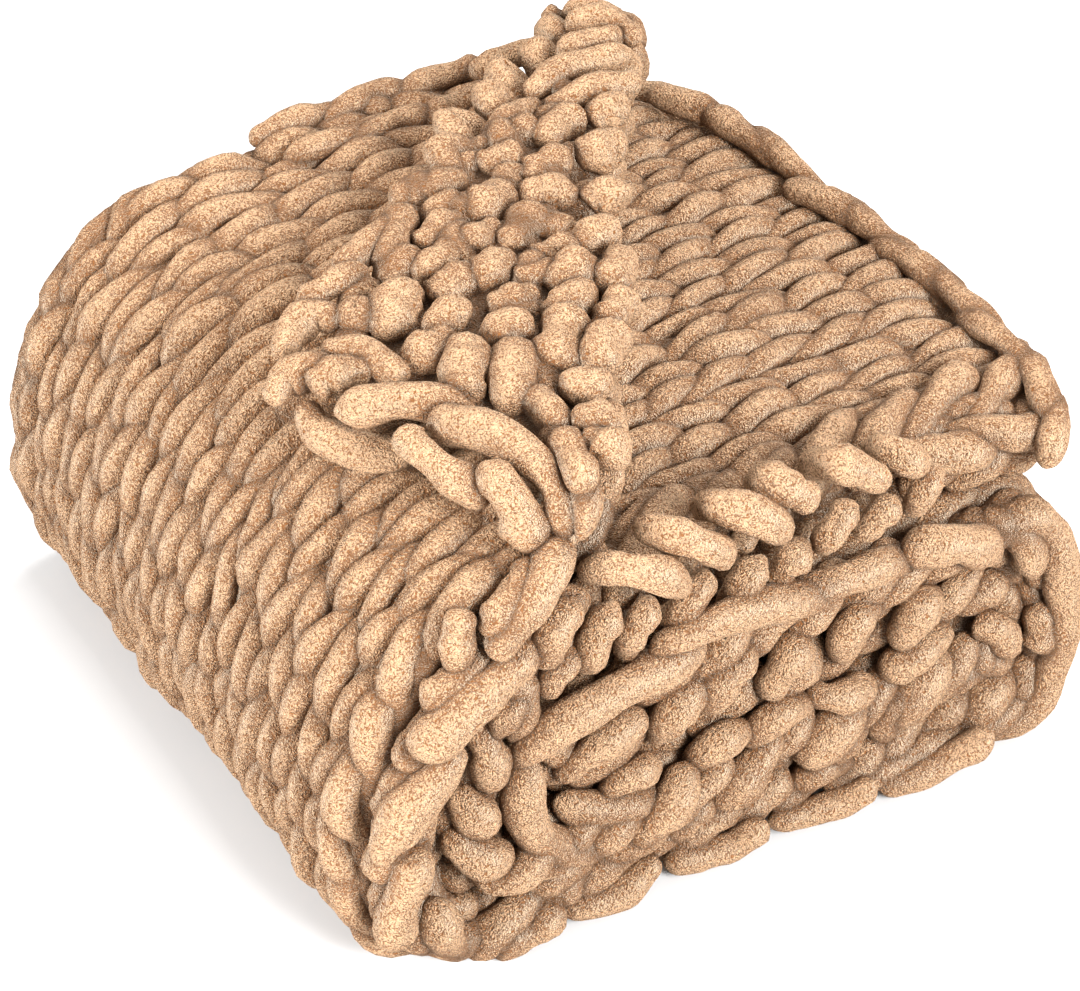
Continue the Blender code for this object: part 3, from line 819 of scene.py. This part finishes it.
def groundSheet(name):
    upper, lower = surfaceGrid(groundCloth["half"], groundCloth["inset"])
    upper, lower = (g - np.array([clothCentre[0], clothCentre[1], 0.0]) for g in (upper, lower))
    rows, cols = upper.shape[:2]
    verts = np.concatenate([upper.reshape(-1, 3), lower.reshape(-1, 3)])
    top = np.arange(rows * cols).reshape(rows, cols)
    low = top + rows * cols
    faces = []
    for j in range(rows - 1):
        for i in range(cols - 1):
            faces.append((top[j, i], top[j, i + 1], top[j + 1, i + 1], top[j + 1, i]))
            faces.append((low[j, i], low[j + 1, i], low[j + 1, i + 1], low[j, i + 1]))
    for i in range(cols - 1):
        faces.append((top[0, i], low[0, i], low[0, i + 1], top[0, i + 1]))
        faces.append((top[-1, i], top[-1, i + 1], low[-1, i + 1], low[-1, i]))
    for j in range(rows - 1):
        faces.append((top[j, 0], top[j + 1, 0], low[j + 1, 0], low[j, 0]))
        faces.append((top[j, -1], low[j, -1], low[j + 1, -1], top[j + 1, -1]))
    mesh = bpy.data.meshes.new(name)
    mesh.from_pydata(verts.tolist(), [], [[int(k) for k in f] for f in faces])
    mesh.update()
    piece = bpy.data.objects.new(name, mesh)
    bpy.context.collection.objects.link(piece)
    deselectAll()
    piece.select_set(True)
    bpy.context.view_layer.objects.active = piece
    bpy.ops.object.shade_smooth()
    return piece


knitGround = groundSheet("knitGround")

# colours of the chenille, and the painted shade that darkens them in the pile's pits and where strands meet,
# in metres
yarnLook = {
    "lit": (0.868, 0.530, 0.298, 1.0),
    "pitShade": (0.245, 0.096, 0.029, 1.0),       # painted shade between the curls of the pile
    "creaseShade": (0.190, 0.078, 0.026, 1.0),    # painted shade where two strands meet
    "deepShadeLit": (0.440, 0.212, 0.084, 1.0),   # the yarn inside, seen between the loops, darkened with painted shade
    "deepShadePit": (0.200, 0.082, 0.028, 1.0),
    "creaseShadeEdges": (-0.0005, 0.0025),        # from the next strand's surface: the painted crease shade is darkest at the first, full colour at the second
    "shadeReach": 0.010,
    "shades": (0.27, -0.03),                 # how much the painted pit shade spreads in a crease, and far from one
    "roughness": 0.95,
    "specular": 0.15,
    "sheen": 0.28,
    "sheenRoughness": 0.35,
    "sheenTint": (1.0, 0.82, 0.62, 1.0),
    "bumpStrength": 1.0,
    "bumpHeight": 0.0060,
}

# the curls of the pile, for the bump and the painted pit shade; a noise has a scale and a detail
pileLook = {
    "curlScale": 840.0,
    "warpNoise": (300.0, 2.0),    # pushes the curls out of line
    "warpPush": 0.004,
    "fineNoise": (1300.0, 2.0),   # single fibres
    "tuftNoise": (240.0, 1.0),    # tufts of a few curls
    "curlEdges": (0.80, 0.12),    # lowest at the first distance from a curl's middle, highest at the second
    "tipEdges": (0.86, 0.38),     # the painted pit shade, and the lit colour
    "fineHeight": 0.35,
    "tuftHeight": 1.5,
    "ragged": 0.55,               # how far the fibres break up the edge of the painted pit shade
    "tuftOpen": -0.40,            # less painted pit shade on a tuft
}

creaseSearch = {
    "reach": 0.034,       # how far off another strand's middle may be
    "ownPoints": 13,      # points of the same strand that don't count, to either side
    "most": 0.01,
}


def markCreaseShade():
    # how far each vertex lies from the next strand's surface, in metres, and negative inside it; the
    # materials paint crease shade and denser pit shade by it
    threads = [(path, radius) for sweeps in yarnSweeps.values() for s in sweeps
               for path, radius in zip(s["path"], s["radius"])]
    spots = np.concatenate([path for path, _ in threads])
    sizes = np.concatenate([radius for _, radius in threads])
    owner = np.concatenate([np.full(len(path), i) for i, (path, _) in enumerate(threads)])
    tree = KDTree(len(spots))
    for i, spot in enumerate(spots):
        tree.insert(spot, i)
    tree.balance()
    ownPoints, most = creaseSearch["ownPoints"], creaseSearch["most"]
    base = 0
    for name, sweeps in yarnSweeps.items():
        shadeOpenness = []
        for sweep in sweeps:
            for verts in sweep["verts"]:
                for i, ring in enumerate(verts):
                    here = base + i
                    near = [k for _, k, _ in tree.find_range(spots[here], creaseSearch["reach"])]
                    near = np.array([k for k in near if owner[k] != owner[here] or abs(k - here) > ownPoints])
                    if len(near) == 0:
                        shadeOpenness.append(np.full(len(ring), most))
                        continue
                    gap = np.linalg.norm(ring[:, None] - spots[near][None], axis=-1) - sizes[near][None]
                    shadeOpenness.append(np.clip(gap.min(axis=1), -most, most))
                base += len(verts)
        mark = bpy.data.objects[name].data.attributes.new("clearance", "FLOAT", "POINT")
        mark.data.foreach_set("value", np.concatenate(shadeOpenness))


def noiseNode(nodes, scale, detail):
    node = nodes.new("ShaderNodeTexNoise")
    node.inputs["Scale"].default_value = scale
    node.inputs["Detail"].default_value = detail
    return node


def timesPlusNode(nodes, factor):
    # first input times the factor, plus the third input
    node = nodes.new("ShaderNodeMath")
    node.operation = "MULTIPLY_ADD"
    node.inputs[1].default_value = factor
    return node


def rangeNode(nodes, fromMin, fromMax, blend="LINEAR"):
    node = nodes.new("ShaderNodeMapRange")
    node.interpolation_type = blend
    node.inputs["From Min"].default_value = fromMin
    node.inputs["From Max"].default_value = fromMax
    return node


def curlGroup():
    # the pile's small curls: a height, and how far out of the painted pit shade a point lies
    group = bpy.data.node_groups.new("chenilleCurls", "ShaderNodeTree")
    group.interface.new_socket("Vector", in_out="INPUT", socket_type="NodeSocketVector")
    size = group.interface.new_socket("Curl Scale", in_out="INPUT", socket_type="NodeSocketFloat")
    size.default_value = pileLook["curlScale"]
    group.interface.new_socket("Shade", in_out="INPUT", socket_type="NodeSocketFloat")
    group.interface.new_socket("Height", in_out="OUTPUT", socket_type="NodeSocketFloat")
    group.interface.new_socket("Tips", in_out="OUTPUT", socket_type="NodeSocketFloat")
    nodes, links = group.nodes, group.links
    given, result = nodes.new("NodeGroupInput"), nodes.new("NodeGroupOutput")
    warp = noiseNode(nodes, *pileLook["warpNoise"])
    fine = noiseNode(nodes, *pileLook["fineNoise"])
    tuft = noiseNode(nodes, *pileLook["tuftNoise"])
    for noise in (warp, fine, tuft):
        links.new(given.outputs["Vector"], noise.inputs["Vector"])
    push = nodes.new("ShaderNodeVectorMath")
    push.operation = "MULTIPLY_ADD"
    push.inputs[1].default_value = [pileLook["warpPush"]] * 3
    links.new(warp.outputs["Color"], push.inputs[0])
    links.new(given.outputs["Vector"], push.inputs[2])
    cells = nodes.new("ShaderNodeTexVoronoi")
    links.new(push.outputs["Vector"], cells.inputs["Vector"])
    links.new(given.outputs["Curl Scale"], cells.inputs["Scale"])

    # height: curls, fibres on them, and tufts under both
    curl = rangeNode(nodes, *pileLook["curlEdges"])
    fibres = timesPlusNode(nodes, pileLook["fineHeight"])
    tufts = timesPlusNode(nodes, pileLook["tuftHeight"])
    links.new(cells.outputs["Distance"], curl.inputs["Value"])
    links.new(fine.outputs["Fac"], fibres.inputs[0])
    links.new(curl.outputs["Result"], fibres.inputs[2])
    links.new(tuft.outputs["Fac"], tufts.inputs[0])
    links.new(fibres.outputs["Value"], tufts.inputs[2])
    links.new(tufts.outputs["Value"], result.inputs["Height"])

    # tips: painted pit shade lies between curls with ragged edges, more of it in a crease and less on a tuft
    ragged = timesPlusNode(nodes, pileLook["ragged"])
    gather = nodes.new("ShaderNodeMath")
    gather.operation = "ADD"
    nubs = timesPlusNode(nodes, pileLook["tuftOpen"])
    tips = rangeNode(nodes, *pileLook["tipEdges"], blend="SMOOTHSTEP")
    links.new(fine.outputs["Fac"], ragged.inputs[0])
    links.new(cells.outputs["Distance"], ragged.inputs[2])
    links.new(ragged.outputs["Value"], gather.inputs[0])
    links.new(given.outputs["Shade"], gather.inputs[1])
    links.new(tuft.outputs["Fac"], nubs.inputs[0])
    links.new(gather.outputs["Value"], nubs.inputs[2])
    links.new(nubs.outputs["Value"], tips.inputs["Value"])
    links.new(tips.outputs["Result"], result.inputs["Tips"])
    return group


def yarnMaterial(name, lit, pitShade, curls):
    mat = bpy.data.materials.new(name)
    mat.use_nodes = True
    nodes, links = mat.node_tree.nodes, mat.node_tree.links
    shader = nodes["Principled BSDF"]
    shader.inputs["Roughness"].default_value = yarnLook["roughness"]
    shader.inputs["Sheen Weight"].default_value = yarnLook["sheen"]
    shader.inputs["Sheen Roughness"].default_value = yarnLook["sheenRoughness"]
    shader.inputs["Sheen Tint"].default_value = yarnLook["sheenTint"]
    shader.inputs["Specular IOR Level"].default_value = yarnLook["specular"]
    clearance = nodes.new("ShaderNodeAttribute")
    clearance.attribute_name = "clearance"
    low = rangeNode(nodes, 0.0, yarnLook["shadeReach"])
    low.inputs["To Min"].default_value, low.inputs["To Max"].default_value = yarnLook["shades"]
    links.new(clearance.outputs["Fac"], low.inputs["Value"])
    coord = nodes.new("ShaderNodeTexCoord")
    pile = nodes.new("ShaderNodeGroup")
    pile.node_tree = curls
    pile.inputs["Curl Scale"].default_value = pileLook["curlScale"]
    links.new(coord.outputs["Object"], pile.inputs["Vector"])
    links.new(low.outputs["Result"], pile.inputs["Shade"])

    # colour: painted pit shade to lit by the pile, then painted crease shade where strands meet
    shade = nodes.new("ShaderNodeMix")
    shade.data_type = "RGBA"
    shade.inputs["A"].default_value = pitShade
    shade.inputs["B"].default_value = lit
    links.new(pile.outputs["Tips"], shade.inputs["Factor"])
    shadeOpenness = rangeNode(nodes, *yarnLook["creaseShadeEdges"], blend="SMOOTHSTEP")
    links.new(clearance.outputs["Fac"], shadeOpenness.inputs["Value"])
    creaseShade = nodes.new("ShaderNodeMix")
    creaseShade.data_type = "RGBA"
    creaseShade.inputs["A"].default_value = yarnLook["creaseShade"]
    links.new(shadeOpenness.outputs["Result"], creaseShade.inputs["Factor"])
    links.new(shade.outputs["Result"], creaseShade.inputs["B"])
    links.new(creaseShade.outputs["Result"], shader.inputs["Base Color"])

    bump = nodes.new("ShaderNodeBump")
    bump.inputs["Strength"].default_value = yarnLook["bumpStrength"]
    bump.inputs["Distance"].default_value = yarnLook["bumpHeight"]
    links.new(pile.outputs["Height"], bump.inputs["Height"])
    links.new(bump.outputs["Normal"], shader.inputs["Normal"])
    return mat


curls = curlGroup()
chenille = yarnMaterial("chenilleTan", yarnLook["lit"], yarnLook["pitShade"], curls)
# a darker copy of the yarn's colours: painted shade for the yarn inside, between the loops
deepShadeYarn = yarnMaterial("chenilleDeepShade", yarnLook["deepShadeLit"], yarnLook["deepShadePit"], curls)
markCreaseShade()
print("creases shaded")
yarnPieces = [knitTop, knitSecond, knitBottom, knitInner, selvedgeFront, selvedgeBack, boundFree, boundCorner]
for piece in yarnPieces:
    piece.data.materials.append(chenille)
# the ground sheet stands for the yarn inside; its colour is painted shade, and as it has no crease marks the
# painted crease shade covers most of it
knitGround.data.materials.append(deepShadeYarn)

for piece in yarnPieces + [knitGround]:
    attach(piece, bodyName)
    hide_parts(nodeName)

studio = {
    "azimuth": -31.38,
    "elevation": 39.40,
    "distance": 2.0785,
    "target": (-0.0146, -0.0184, 0.12),
    "focalPixels": 3241.8,          # in a picture of this width
    "photoWidth": 1080.0,
    "sensorWidth": 36.0,
    "floorSize": 8.0,
    "floorDrop": 0.0005,
    "floorColour": (0.54, 0.54, 0.54, 1.0),
    "floorRoughness": 0.9,
    "lightAim": (0.0, 0.0, 0.1),
    # name, place, size, power
    "lights": (
        ("keyLight", (-2.3, -0.1, 1.0), 0.6, 116.0),
        ("fillLight", (0.1, -2.1, 1.4), 0.9, 142.0),
        ("topLight", (1.0, 0.6, 2.2), 0.9, 72.0),
    ),
    "airColour": (1.0, 1.0, 1.0, 1.0),
    "airStrength": 0.72,
}


def lookAlong(direction):
    return direction.to_track_quat("-Z", "Y").to_euler()


def addFloor():
    deselectAll()
    bpy.ops.mesh.primitive_plane_add(size=studio["floorSize"], location=(0.0, 0.0, -studio["floorDrop"]))
    floor = bpy.context.object
    floor.name = "studioFloor"
    mat = bpy.data.materials.new("paleFloor")
    mat.use_nodes = True
    shader = mat.node_tree.nodes["Principled BSDF"]
    shader.inputs["Base Color"].default_value = studio["floorColour"]
    shader.inputs["Roughness"].default_value = studio["floorRoughness"]
    floor.data.materials.append(mat)


def addCamera():
    az, el = math.radians(studio["azimuth"]), math.radians(studio["elevation"])
    away = Vector((math.sin(az) * math.cos(el), -math.cos(az) * math.cos(el), math.sin(el)))
    bpy.ops.object.camera_add(location=Vector(studio["target"]) + away * studio["distance"])
    camera = bpy.context.object
    camera.rotation_euler = lookAlong(-away)
    camera.data.sensor_fit = "HORIZONTAL"
    camera.data.sensor_width = studio["sensorWidth"]
    camera.data.lens = studio["focalPixels"] * studio["sensorWidth"] / studio["photoWidth"]
    bpy.context.scene.camera = camera


def addLight(name, place, size, power):
    bpy.ops.object.light_add(type="AREA", location=place)
    lamp = bpy.context.object
    lamp.name = name
    lamp.rotation_euler = lookAlong(Vector(studio["lightAim"]) - Vector(place))
    lamp.data.size = size
    lamp.data.energy = power


def addAir():
    world = bpy.data.worlds.new("studioAir")
    bpy.context.scene.world = world
    world.use_nodes = True
    background = world.node_tree.nodes["Background"]
    background.inputs["Color"].default_value = studio["airColour"]
    background.inputs["Strength"].default_value = studio["airStrength"]


addFloor()
addCamera()
for name, place, size, power in studio["lights"]:
    addLight(name, place, size, power)
addAir()
bpy.context.scene.view_settings.view_transform = "Standard"
print("studio set")
